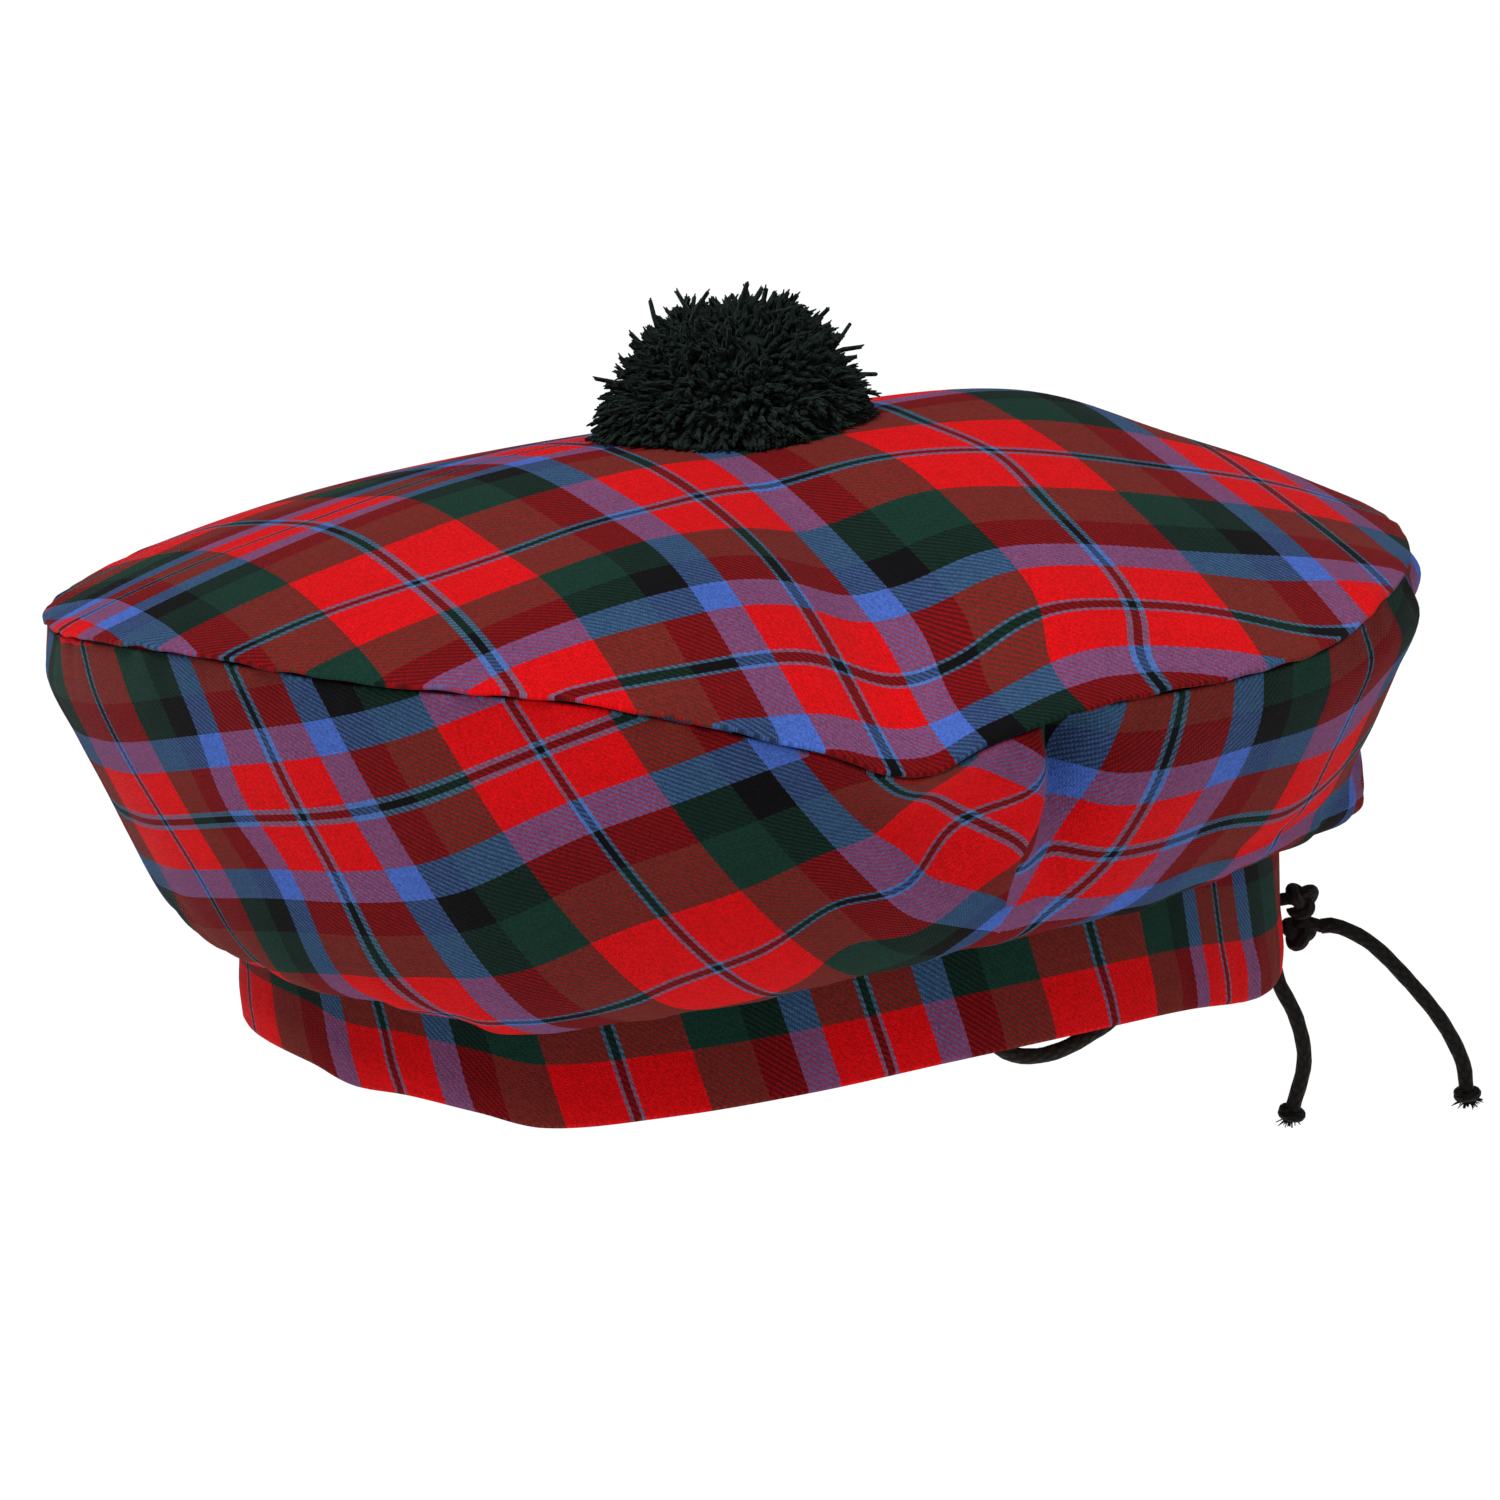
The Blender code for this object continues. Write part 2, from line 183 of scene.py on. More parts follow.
def around(rows, column, angle):
    """A table column read at any angle, smoothly, all the way round."""
    angle %= 360
    count = len(rows)
    after = next((i for i, row in enumerate(rows) if row.angle > angle), 0)
    index = [(after + step) % count for step in (-2, -1, 0, 1)]
    turn = [(rows[i].angle - angle + 180) % 360 - 180 for i in index]
    value = [getattr(rows[i], column) for i in index]
    slope_in = (value[2] - value[0]) / (turn[2] - turn[0])
    slope_out = (value[3] - value[1]) / (turn[3] - turn[1])
    span = turn[2] - turn[1]
    return curve(-turn[1] / span, span, value[1], slope_in, value[2],
                 slope_out)


def turned(angle, other):
    """Signed way in degrees from one angle to another."""
    return (angle - other + 180) % 360 - 180


def bell(distance, width):
    return exp(-(distance / width) ** 2)


def eased(value):
    """0 to 1 with soft ends."""
    value = min(1.0, max(0.0, value))
    return value * value * (3 - 2 * value)


def outward_at(angle):
    turn = radians(angle)
    return Vector((cos(turn), sin(turn), 0))


def swung(side, other, turn):
    """A way swung from one side toward another, in radians."""
    return side * cos(turn) + other * sin(turn)


def square_to(way):
    """Two ways square to a way and to each other."""
    side = way.orthogonal().normalized()
    return side, way.cross(side)


def waves(angle, counts):
    """Uneven ripples round the hat: each count is (ripples, phase, share)."""
    return sum(share * cos(radians(ripples * angle + phase))
               for ripples, phase, share in counts)


def band_point(angle, outward, height):
    """A point on the headband, moved outward from its outer face."""
    turn = radians(angle)
    return Vector(((BAND_X + outward) * cos(turn),
                   (BAND_Y + outward) * sin(turn),
                   HEM_LIFT * around(HEM, "lift", angle) + height))


def rim_height(angle):
    return RIM_HEIGHT * around(RIM, "height", angle)


def rim_point(angle, inward=0.0):
    """A point on the rim seam, drawn inward by a length."""
    turn = radians(angle)
    reach = around(RIM, "reach", angle)
    half_length = CROWN_X * reach - inward
    half_width = CROWN_Y * reach - inward
    return Vector((half_length * cos(turn) - FORWARD,
                   half_width * sin(turn), rim_height(angle)))


MEAN_RIM = RIM_HEIGHT * sum(row.height for row in RIM) / len(RIM)


def top_height(out, angle, rim):
    """Height of the top panel, a share of the way from middle to rim."""
    edge = MEAN_RIM + (rim - MEAN_RIM) * out ** RIM_SPREAD
    height = edge + CROWN_RISE * (1 - out ** DOME_CURVE)
    turn = radians(angle)
    back = out * cos(turn)
    side = out * sin(turn)
    for dent in DENTS:
        slant = radians(dent.slant)
        along = ((back - dent.back) * cos(slant)
                 + (side - dent.side) * sin(slant))
        across = ((side - dent.side) * cos(slant)
                  - (back - dent.back) * sin(slant))
        amount = bell(along, dent.long) * bell(across, dent.wide)
        height += CROWN_RISE * dent.height * amount * (1 - out ** 6)
    return height


def fold_depth(share, angle):
    """How far the under panel's folds draw it inward."""
    depth = 0.0
    for fold in FOLDS:
        middle = fold.angle + fold.lean * (1 - share)
        strength = (bell(share - fold.deepest, FOLD_REACH)
                    * min(1, (1 - share) * 7) * min(1, share * 5))
        depth += fold.depth * strength * bell(turned(angle, middle),
                                              fold.width)
    return CROWN_RISE * depth


def under_points(angle):
    """The under panel's outer face from the headband's top to the rim."""
    seam = BAND_HEIGHT + GAP
    droop = DROOP * around(RIM, "droop", angle)
    face = 2 * GAP
    turn_in = FOLD_RADIUS * 0.7
    points = [
        band_point(angle, -BAND_WALL, seam),
        band_point(angle, face, seam),
        band_point(angle, face, droop + FOLD_RADIUS),
        band_point(angle, face + FOLD_RADIUS - turn_in,
                   droop + FOLD_RADIUS - turn_in),
        band_point(angle, face + FOLD_RADIUS, droop),
    ]
    start = band_point(angle, face + 1.9 * FOLD_RADIUS, droop + 0.0004)
    end = rim_point(angle)
    end.z -= EDGE_WALL + 2 * GAP + SEAM_DIP
    outward = outward_at(angle)
    swell = CROWN_X * around(RIM, "fullness", angle)
    roll = CROWN_X * around(RIM, "roll", angle)
    for row in SECTIONS:
        share = (row.out + row.up) / 2
        point = start.lerp(end, row.out)
        point.z = start.z + (end.z - start.z) * row.up
        point += outward * (swell * row.swell + roll * row.roll
                            - fold_depth(share, angle))
        points.append(point)
    return points


def smooth_through(points, steps):
    """A smooth line through points, with steps[i] parts in each stretch."""
    at = [0.0]
    for a, b in zip(points, points[1:]):
        at.append(at[-1] + (b - a).length)
    last = len(points) - 1
    slopes = []
    for i in range(last + 1):
        low, high = max(0, i - 1), min(last, i + 1)
        slopes.append((points[high] - points[low]) / (at[high] - at[low]))
    line = []
    for i, count in enumerate(steps):
        span = at[i + 1] - at[i]
        for step in range(count):
            line.append(curve(step / count, span, points[i], slopes[i],
                              points[i + 1], slopes[i + 1]))
    line.append(points[-1].copy())
    return line


def cord_route(points, count):
    """Evenly spaced points on a smooth curve through a cord's route."""
    route = [Vector(p) for p in points]
    route = [route[0] * 2 - route[1]] + route + [route[-1] * 2 - route[-2]]
    fine = []
    for p0, p1, p2, p3 in zip(route, route[1:], route[2:], route[3:]):
        for i in range(ROUTE_STEPS):
            t = i / ROUTE_STEPS
            fine.append(0.5 * (2 * p1 + (p2 - p0) * t
                               + (2 * p0 - 5 * p1 + 4 * p2 - p3) * t * t
                               + (3 * p1 - p0 - 3 * p2 + p3) * t ** 3))
    fine.append(route[-2])
    length = sum((b - a).length for a, b in zip(fine, fine[1:]))
    out = [fine[0]]
    done = 0.0
    for a, b in zip(fine, fine[1:]):
        done += (b - a).length
        if done >= length * len(out) / count and len(out) < count:
            out.append(b)
    out.append(fine[-1])
    return out, length


# ---- meshes

def placed(name, data):
    """A new object of the scene."""
    item = bpy.data.objects.new(name, data)
    bpy.context.scene.collection.objects.link(item)
    return item


class Skin:
    """Points, faces and their places in the weave, for one mesh."""

    def __init__(self):
        self.points = []
        self.faces = []
        self.places = []

    def face(self, corners, places):
        self.faces.append(corners)
        self.places.extend(places)

    def make(self, name, look, sharp=60):
        mesh = bpy.data.meshes.new(name)
        mesh.from_pydata(self.points, [], self.faces)
        layer = mesh.uv_layers.new(name="Weave")
        layer.data.foreach_set("uv", [n for uv in self.places for n in uv])
        mesh.update()
        mesh.shade_smooth()
        mesh.set_sharp_from_angle(angle=radians(sharp))
        mesh.materials.append(look)
        return placed(name, mesh)

    def tube(self, route, radii, sides, number=0.0, start=0.0):
        """A round strand along a route. Its places are the strand's number
        plus the share of the way round it, and the length along it."""
        side = (route[1] - route[0]).normalized().orthogonal().normalized()
        rings = []
        run = start
        for i, point in enumerate(route):
            before = route[max(0, i - 1)]
            after = route[min(len(route) - 1, i + 1)]
            way = (after - before).normalized()
            side = (side - way * side.dot(way)).normalized()
            other = way.cross(side)
            first = len(self.points)
            for k in range(sides):
                turn = 2 * pi * k / sides
                self.points.append(point
                                   + swung(side, other, turn) * radii[i])
            if i:
                run += (point - route[i - 1]).length
            rings.append((first, run))
        for (low, low_run), (high, high_run) in zip(rings, rings[1:]):
            for k in range(sides):
                n = (k + 1) % sides
                here, there = (k + 0.02) / sides, (k + 0.98) / sides
                self.face((low + k, low + n, high + n, high + k),
                          ((number + here, low_run), (number + there, low_run),
                           (number + there, high_run),
                           (number + here, high_run)))
        self.cap(rings[0][0], sides, -1, (number + 0.5, start))
        self.cap(rings[-1][0], sides, 1, (number + 0.5, rings[-1][1]))

    def cap(self, first, sides, order, place):
        """One face over a whole ring of points."""
        self.face(tuple(range(first, first + sides))[::order],
                  [place] * sides)


def walled_cloth(name, rings, walls, look, place, middle=None):
    """A closed cloth panel through rings of (point, angle, distance) with
    walls[ring] of cloth on its inner side and rounded edges.
    place(angle, distance, column) gives a corner's place in the weave."""
    skin = Skin()
    columns = len(rings[0])
    rows = len(rings)
    grid = [[spot[0] for spot in ring] for ring in rings]
    normals = []
    for r in range(rows):
        row = []
        for c in range(columns):
            along = (grid[min(rows - 1, r + 1)][c] - grid[max(0, r - 1)][c])
            across = grid[r][(c + 1) % columns] - grid[r][c - 1]
            row.append(across.cross(along).normalized())
        normals.append(row)
    inside = [[p - n * wall for p, n in zip(points, norms)]
              for points, norms, wall in zip(grid, normals, walls)]

    def edge(r, beside):
        """Rings of a half round over an edge, from outside to inside."""
        made = []
        for turn in (45, 90, 135):
            ring = []
            for c in range(columns):
                off = (grid[r][c] - grid[beside][c]).normalized()
                ring.append((grid[r][c] + inside[r][c]) / 2
                            + swung(normals[r][c], off, radians(turn))
                            * (walls[r] / 2))
            made.append(ring)
        return made

    marks = [[(spot[1], spot[2]) for spot in ring] for ring in rings]
    loop = list(zip(grid, marks))
    if middle is None:
        loop += [(ring, marks[-1]) for ring in edge(rows - 1, rows - 2)]
    else:
        loop.append(None)
    loop += list(zip(inside, marks))[::-1]
    loop += [(ring, marks[0]) for ring in reversed(edge(0, 1))]
    starts = []
    for item in loop:
        starts.append(len(skin.points))
        if item:
            skin.points.extend(item[0])
    step = 360 / columns
    for k in range(len(loop)):
        n = (k + 1) % len(loop)
        if loop[k] is None or loop[n] is None:
            continue
        low, high = loop[k][1], loop[n][1]
        for c in range(columns):
            d = (c + 1) % columns
            a = low[c][0]
            corners = (starts[k] + c, starts[k] + d, starts[n] + d,
                       starts[n] + c)
            spots = ((a, low[c][1]), (a + step, low[d][1]),
                     (a + step, high[d][1]), (a, high[c][1]))
            skin.face(corners, [place(angle, far, c) for angle, far in spots])
    if middle is not None:
        below = middle - Vector((0, 0, walls[-1]))
        for ring, point, flip in ((rows - 1, middle, False),
                                  (rows + 1, below, True)):
            tip = len(skin.points)
            skin.points.append(point)
            mark = loop[ring][1]
            for c in range(columns):
                d = (c + 1) % columns
                corners = (starts[ring] + c, starts[ring] + d, tip)
                a = mark[c][0]
                spots = [place(a, mark[c][1], c),
                         place(a + step, mark[d][1], c), place(a, 0.0, c)]
                if flip:
                    corners = corners[::-1]
                    spots = spots[::-1]
                skin.face(corners, spots)
    return skin.make(name, look)


# ---- finishes

def linear(*rgb):
    """A screen colour, 0 to 255, as the linear colour that shaders use."""
    out = []
    for n in rgb:
        n /= 255
        out.append(n / 12.92 if n <= 0.04045 else ((n + 0.055) / 1.055) ** 2.4)
    return (*out, 1.0)


class Nodes:
    """Short calls for building a node tree."""

    def __init__(self, tree):
        self.tree = tree

    def add(self, kind, *values, **settings):
        """A new node, with numbers or links for its first inputs."""
        node = self.tree.nodes.new(kind)
        for key, value in settings.items():
            setattr(node, key, value)
        for socket, value in zip(node.inputs, values):
            self.feed(socket, value)
        return node

    def join(self, out, into):
        self.tree.links.new(out, into)

    def feed(self, socket, value):
        if isinstance(value, bpy.types.NodeSocket):
            self.join(value, socket)
        else:
            socket.default_value = value

    def math(self, operation, *values):
        return self.add("ShaderNodeMath", *values,
                        operation=operation).outputs[0]

    def plus(self, a, b):
        return self.math("ADD", a, b)

    def minus(self, a, b):
        return self.math("SUBTRACT", a, b)

    def times(self, a, b):
        return self.math("MULTIPLY", a, b)

    def vectors(self, operation, *values):
        return self.add("ShaderNodeVectorMath", *values,
                        operation=operation).outputs[0]

    def mix(self, share, a, b, data_type="RGBA"):
        """A mix of two colours or, with "FLOAT", of two numbers."""
        first, out = (6, 2) if data_type == "RGBA" else (2, 0)
        node = self.add("ShaderNodeMix", share, data_type=data_type)
        self.feed(node.inputs[first], a)
        self.feed(node.inputs[first + 1], b)
        return node.outputs[out]

    def vector(self, x, y, z=0.0):
        return self.add("ShaderNodeCombineXYZ", x, y, z).outputs[0]

    def split(self, vector):
        return self.add("ShaderNodeSeparateXYZ", vector).outputs

    def noise(self, vector, scale, detail=2.0, rough=0.5):
        node = self.add("ShaderNodeTexNoise", vector)
        node.inputs["Scale"].default_value = scale
        node.inputs["Detail"].default_value = detail
        node.inputs["Roughness"].default_value = rough
        return node.outputs["Fac"]

    def scatter(self, vector):
        """A number from 0 to 1 that differs from one cell to the next."""
        return self.add("ShaderNodeTexWhiteNoise", vector,
                        noise_dimensions="3D").outputs["Value"]

    def tone(self, colour, amount):
        """A colour made darker or lighter."""
        node = self.add("ShaderNodeVectorMath", colour, operation="SCALE")
        self.feed(node.inputs["Scale"], amount)
        return node.outputs[0]


def group(name, inputs, outputs):
    """An empty node group with named sockets, and its in and out nodes."""
    tree = bpy.data.node_groups.new(name, "ShaderNodeTree")
    kinds = {"v": "NodeSocketVector", "f": "NodeSocketFloat",
             "c": "NodeSocketColor"}
    for label, kind, value in inputs:
        socket = tree.interface.new_socket(label, in_out="INPUT",
                                           socket_type=kinds[kind])
        if value is not None:
            socket.default_value = value
    for label, kind in outputs:
        tree.interface.new_socket(label, in_out="OUTPUT",
                                  socket_type=kinds[kind])
    kit = Nodes(tree)
    given = kit.add("NodeGroupInput").outputs
    return tree, kit, given, kit.add("NodeGroupOutput").inputs


# Yarn colours of the tartan
RED, BLACK, GREEN = linear(203, 5, 12), linear(5, 5, 8), linear(15, 48, 38)
BLUE, AZURE = linear(66, 98, 180), linear(78, 114, 168)
# Pale tint of painted sheen, mixed over the wool where its fibre is raised
FIBRE_SHEEN = (0.55, 0.52, 0.52, 1.0)

# Stripes of half a repeat, in millimetres of the headband's cloth
STRIPES = ((BLACK, 0.6), (AZURE, 0.8), (RED, 8.45), (BLUE, 6.0),
           (BLACK, 7.2), (GREEN, 10.8), (RED, 12.55), (AZURE, 0.8),
           (BLACK, 0.6))


def tartan_group():
    """Wool tartan in a 2 by 2 twill. Cloth is measured in half repeats."""
    tree, kit, given, result = group(
        "Tartan twill",
        (("Cloth", "v", None), ("Threads", "f", 100.0), ("Fleck", "f", 0.25),
         ("Sink", "f", 0.86), ("Blend", "f", 0.3)),
        (("Color", "c"), ("Height", "f")))
    x, y, _ = kit.split(given["Cloth"])
    width = sum(w for _, w in STRIPES)

    def yarn(place):
        """A yarn's number, its colour and the round of its surface."""
        scaled = kit.times(place, given["Threads"])
        number = kit.math("FLOOR", scaled)
        centre = kit.math("DIVIDE", kit.plus(number, 0.5), given["Threads"])
        ramp = kit.add("ShaderNodeValToRGB",
                       kit.math("PINGPONG", centre, 1.0))
        ramp.color_ramp.interpolation = "CONSTANT"
        stops = ramp.color_ramp.elements
        run = 0.0
        for i, (colour, wide) in enumerate(STRIPES):
            stop = stops[i] if i < 2 else stops.new(run / width)
            stop.position = run / width
            stop.color = colour
            run += wide
        humped = kit.minus(kit.times(kit.minus(scaled, number), 2.0), 1.0)
        return (number, ramp.outputs[0],
                kit.minus(1.0, kit.times(humped, humped)))

    warp, warp_colour, warp_round = yarn(x)
    weft, weft_colour, weft_round = yarn(y)
    step = kit.math("FLOORED_MODULO", kit.plus(warp, weft), 4.0)
    over = kit.math("LESS_THAN", step, 1.5)
    clear = kit.minus(1.0, kit.times(given["Blend"], 2.0))
    share = kit.plus(kit.times(over, clear), given["Blend"])
    colour = kit.mix(share, weft_colour, warp_colour)

    # Crossing yarns of unlike colours look darker than their mean
    apart = kit.vectors("ABSOLUTE", kit.vectors("SUBTRACT", warp_colour,
                                                weft_colour))
    sink = kit.vectors("SUBTRACT", (1, 1, 1), kit.tone(apart, given["Sink"]))
    fleck = kit.scatter(kit.vector(warp, weft, 3.5))
    lines = kit.plus(kit.scatter(kit.vector(warp, 11.5, over)),
                     kit.scatter(kit.vector(weft, 23.5, over)))
    spread = kit.minus(kit.plus(fleck, kit.times(lines, 0.25)), 0.75)
    tone = kit.plus(1.0, kit.times(spread, given["Fleck"]))
    kit.join(kit.tone(kit.vectors("MULTIPLY", colour, sink), tone),
             result["Color"])
    rise = kit.mix(over, weft_round, warp_round, "FLOAT")
    kit.join(kit.plus(rise, kit.times(fleck, 0.3)), result["Height"])
    return tree


def dye_and_sheen_group():
    """Uneven dye over a wool surface, and painted sheen: a pale tint mixed in
    at random where the fibre is raised.
    """
    tree, kit, given, result = group(
        "Wool dye and sheen",
        (("Color", "c", (0.5, 0.5, 0.5, 1)), ("Place", "v", None),
         ("Uneven", "f", 0.12), ("Fuzz", "f", 0.05)),
        (("Color", "c"), ("Height", "f")))
    slow = kit.noise(given["Place"], 28.0, 3.0)
    fine = kit.noise(given["Place"], 900.0, 3.0, 0.7)
    tone = kit.plus(1.0, kit.times(kit.minus(slow, 0.5), given["Uneven"]))
    toned = kit.tone(given["Color"], tone)
    # Painted sheen: the pale tint is mixed in where the fine noise is high
    share = kit.times(kit.math("POWER", fine, 2.0), given["Fuzz"])
    kit.join(kit.mix(share, toned, FIBRE_SHEEN), result["Color"])
    kit.join(fine, result["Height"])
    return tree


def strand_group():
    """Plies twisted round a strand. Strand is (number + way round, length)."""
    tree, kit, given, result = group(
        "Twisted strand",
        (("Strand", "v", None), ("Plies", "f", 2.0), ("Twist", "f", 300.0),
         ("Counter", "f", 0.0)),
        (("Shade", "f"), ("Groove", "f"), ("Fibre", "f")))
    x, y, _ = kit.split(given["Strand"])
    number = kit.math("FLOOR", x)
    ply = kit.times(kit.minus(x, number), given["Plies"])
    turns = kit.times(y, given["Twist"])
    groove, back = (
        kit.math("ABSOLUTE", kit.math("SINE", kit.times(spun, pi)))
        for spun in (kit.plus(ply, turns), kit.minus(ply, turns)))
    both = kit.mix(given["Counter"], groove, kit.times(groove, back),
                   "FLOAT")
    kit.join(both, result["Groove"])
    kit.join(kit.scatter(kit.vector(number, 4.5, 1.5)), result["Shade"])
    kit.join(kit.noise(kit.vector(kit.times(x, 0.008), y), 2200.0, 3.0, 0.7),
             result["Fibre"])
    return tree


def material(name, roughness):
    made = bpy.data.materials.new(name)
    made.use_nodes = True
    shader = made.node_tree.nodes["Principled BSDF"]
    shader.inputs["Roughness"].default_value = roughness
    return made, Nodes(made.node_tree), shader


def finish_material(name, roughness, sheen, sheen_rough, tint):
    """A material with its shader's own constant values set, and the sockets
    of the place in the weave and of the place in the room."""
    made, kit, shader = material(name, roughness)
    shader.inputs["Specular IOR Level"].default_value = 0.06
    shader.inputs["Sheen Weight"].default_value = sheen
    shader.inputs["Sheen Roughness"].default_value = sheen_rough
    shader.inputs["Sheen Tint"].default_value = tint
    weave = kit.add("ShaderNodeUVMap", uv_map="Weave").outputs[0]
    place = kit.add("ShaderNodeTexCoord").outputs["Object"]
    return made, kit, shader, weave, place


def place_group(kit, tree, **values):
    node = kit.add("ShaderNodeGroup")
    node.node_tree = tree
    for label, value in values.items():
        kit.feed(node.inputs[label], value)
    return node.outputs


def bump(kit, shader, height, strength, distance):
    node = kit.add("ShaderNodeBump")
    node.inputs["Strength"].default_value = strength
    node.inputs["Distance"].default_value = distance
    kit.join(height, node.inputs["Height"])
    kit.join(node.outputs[0], shader.inputs["Normal"])


TARTAN = tartan_group()
DYE_AND_SHEEN = dye_and_sheen_group()
STRAND = strand_group()


def tartan_cloth(name, threads, fleck):
    made, kit, shader, weave, place = finish_material(
        name, 0.92, 0.02, 0.45, (1.0, 0.92, 0.9, 1.0))
    twill = place_group(kit, TARTAN, Cloth=weave, Threads=threads,
                        Fleck=fleck)
    # Uneven dye, and painted sheen on the raised fibre
    haze = place_group(kit, DYE_AND_SHEEN, Color=twill["Color"], Place=place,
                       Uneven=0.25, Fuzz=0.006)
    kit.join(haze["Color"], shader.inputs["Base Color"])
    height = kit.plus(twill["Height"], kit.times(haze["Height"], 0.5))
    bump(kit, shader, height, 0.45, 0.00035)
    return made


def yarn_finish(name, dark, light, plies, twist, counter, roughness,
                distance):
    made, kit, shader, strand, place = finish_material(
        name, roughness, 0.06, 0.5, (0.75, 0.85, 0.8, 1.0))
    ply = place_group(kit, STRAND, Strand=strand, Plies=plies, Twist=twist,
                      Counter=counter)
    share = kit.times(kit.plus(ply["Shade"], ply["Fibre"]), 0.5)
    # Painted shade: the colour darkens to 0.45 in the grooves between the plies
    shaded_in_grooves = kit.tone(kit.mix(share, dark, light),
                      kit.plus(0.45, kit.times(ply["Groove"], 0.55)))
    # Uneven dye, and painted sheen on the raised fibre
    haze = place_group(kit, DYE_AND_SHEEN, Color=shaded_in_grooves, Place=place, Uneven=0.5,
                       Fuzz=0.03)
    kit.join(haze["Color"], shader.inputs["Base Color"])
    height = kit.plus(ply["Groove"], kit.times(ply["Fibre"], 0.5))
    bump(kit, shader, height, 0.7, distance)
    return made


# ---- camera

# The photo's viewpoint: degrees round the hat, above level and of tilt
CAMERA_ANGLES = (12, 14.5, 2.2)
CAMERA_AIM = Vector((-0.0012, 0, 0.0493))
CAMERA_AWAY = 1.3
CAMERA_LENS = 162.2


def photo_camera():
    turn, rise, roll = (radians(n) for n in CAMERA_ANGLES)
    ahead = Vector((sin(turn) * cos(rise),
                    cos(turn) * cos(rise), -sin(rise)))
    right = Vector((cos(turn), -sin(turn), 0))
    up = right.cross(ahead)
    side = right * cos(roll) - up * sin(roll)
    head = right * sin(roll) + up * cos(roll)
    lens = bpy.data.cameras.new("Camera")
    lens.sensor_width = 36
    lens.lens = CAMERA_LENS
    lens.clip_end = 50
    camera = placed("Camera", lens)
    frame_axes = Matrix((side, head, -ahead)).transposed().to_4x4()
    frame_axes.translation = CAMERA_AIM - ahead * CAMERA_AWAY
    camera.matrix_world = frame_axes
    bpy.context.scene.camera = camera


# ---- cords

KNOT_STEPS = 60
KNOT_TURNS = 0.95           # share of a closed overhand knot
KNOT_DEPTH = 0.42
KNOT_STRAND = CORD * 0.42
END_STEPS = 30
END_TURNS = 1.4
END_STRAND = 0.0009
# The core of an end knot: the way along the cord and the radius
END_CORE = ((-0.0004, 0.0014), (0.001, 0.0016), (0.0022, 0.0012))
# Fibres at a cut end: the way along the cord, and what fray() is given
FRAYS = ((0.0012, 12, 0.0026, 1.1, 0.0005, 7),
         (0.0014, 40, 0.003, 0.9, 0.0002, 20))


def fray(skin, tip, way, count, length, spread, thick, number):
    """Loose fibres at the cut end of a cord."""
    side, other = square_to(way)
    for i in range(count):
        off = swung(side, other, random.uniform(0, 2 * pi))
        root = tip + off * random.uniform(0, 0.0011)
        lean = random.uniform(0.1, 1.0) * spread
        reach = length * random.uniform(0.5, 1.0)
        mid = root + (way + off * lean * 0.6) * (reach * 0.5)
        end = root + (way * (1 - lean * 0.3) + off * lean) * reach
        skin.tube([root, mid, end], (thick, thick * 0.9, thick * 0.45), 5,
                  number + i, random.uniform(0, 0.1))


def knotted(middle, axis, spin, reach):
    """The route of a cord through an overhand knot."""
    axis = axis.normalized()
    side, other = square_to(axis)
    route = []
    for i in range(KNOT_STEPS + 1):
        t = spin + 2 * pi * KNOT_TURNS * i / KNOT_STEPS
        route.append(
            middle
            + side * ((sin(t) + 2 * sin(2 * t)) * reach / 3)
            + other * ((cos(t) - 2 * cos(2 * t)) * reach / 3)
            - axis * (sin(3 * t) * reach * KNOT_DEPTH))
    return route


def end_knot(line):
    """A short winding round a cord's last point, with a frayed tip."""
    tip, way = line[-1], (line[-1] - line[-3]).normalized()
    side, other = square_to(way)
    skin = Skin()
    winding = []
    for i in range(END_STEPS + 1):
        t = i / END_STEPS
        out = ((END_KNOT / 2 - END_STRAND)
               * (0.8 + 0.2 * sin(pi * t)))
        winding.append(tip + way * (0.0006 + 0.001 * t)
                       + swung(side, other, 2 * pi * END_TURNS * t)
                       * out)
    skin.tube(winding, [END_STRAND] * len(winding), 10, 5)
    skin.tube([tip + way * along for along, _ in END_CORE],
              [radius for _, radius in END_CORE], 12, 6)
    for along, *fibres in FRAYS:
        fray(skin, tip + way * along, way, *fibres)
    return skin


